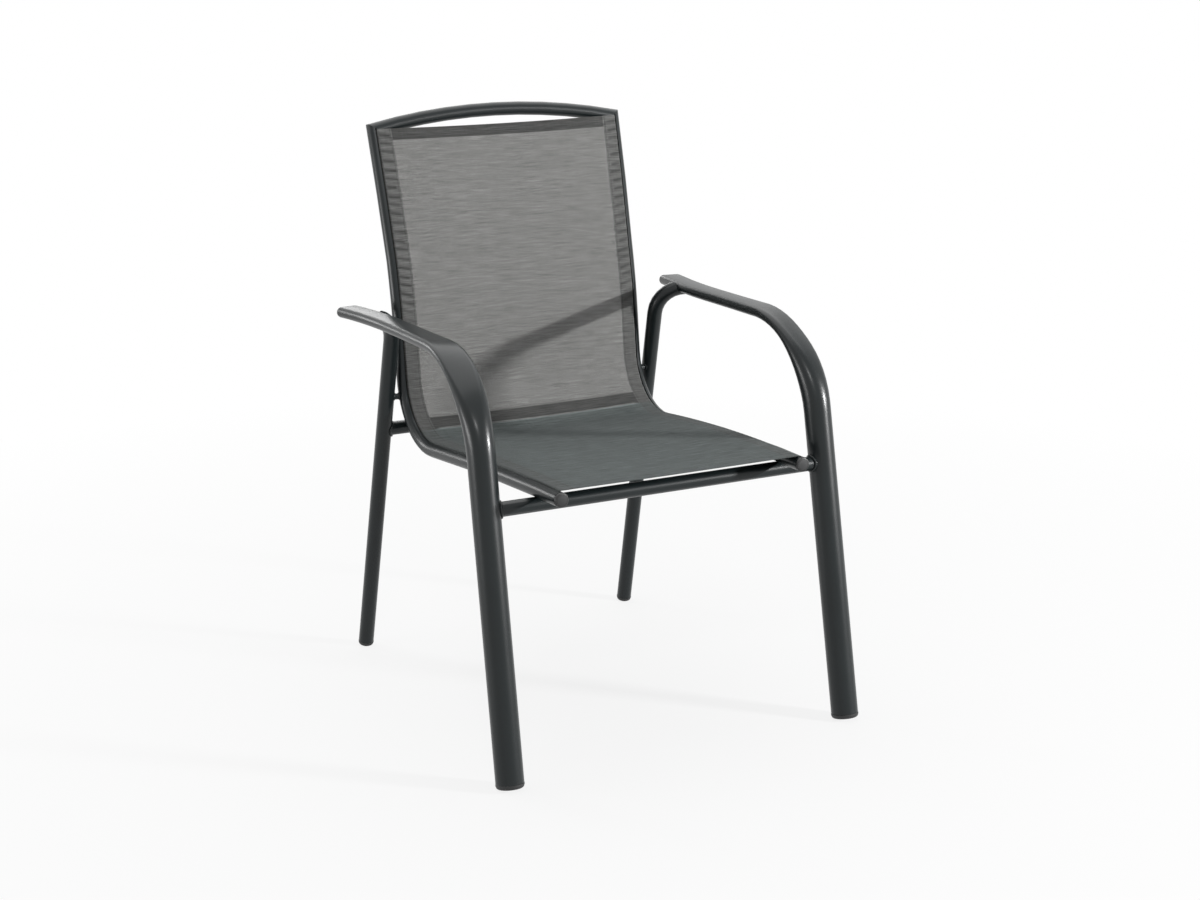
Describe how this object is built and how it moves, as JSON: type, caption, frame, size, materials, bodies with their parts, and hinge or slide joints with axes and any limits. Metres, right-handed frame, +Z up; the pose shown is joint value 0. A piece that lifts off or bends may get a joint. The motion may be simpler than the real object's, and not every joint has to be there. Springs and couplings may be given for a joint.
{
  "type": "sling patio chair",
  "caption": "Fixed patio chair with bent tube legs and flattened arms, two curved side rails with an arched top, and a woven mesh sling seat and back.",
  "frame": {"origin": "centre of the chair's box on the floor", "axes": "+Z up, -Y towards the front of the chair, +X towards the sitter's left"},
  "size_m": [0.6234, 0.6822, 0.8991],
  "materials": {
    "frame": "satin grey powder coat",
    "mesh": "matt woven mesh of flat strands",
    "black_plastic": "matt",
    "grey_plastic": "satin"
  },
  "bodies": {
    "root": {"left_front_leg_arm": "frame", "right_front_leg_arm": "frame", "left_rear_leg": "frame", "right_rear_leg": "frame", "left_side_rail": "frame", "right_side_rail": "frame", "top_rail": "frame", "front_crossbar": "frame", "rear_crossbar": "frame", "left_rail_spacer": "frame", "right_rail_spacer": "frame", "sling": "mesh", "left_sling_welt": "black_plastic", "right_sling_welt": "black_plastic", "left_rail_plug": "black_plastic", "right_rail_plug": "black_plastic", "left_front_glide": "black_plastic", "right_front_glide": "black_plastic", "left_rear_glide": "black_plastic", "right_rear_glide": "black_plastic", "left_arm_cap": "grey_plastic", "right_arm_cap": "grey_plastic"}
  },
  "joints": []
}
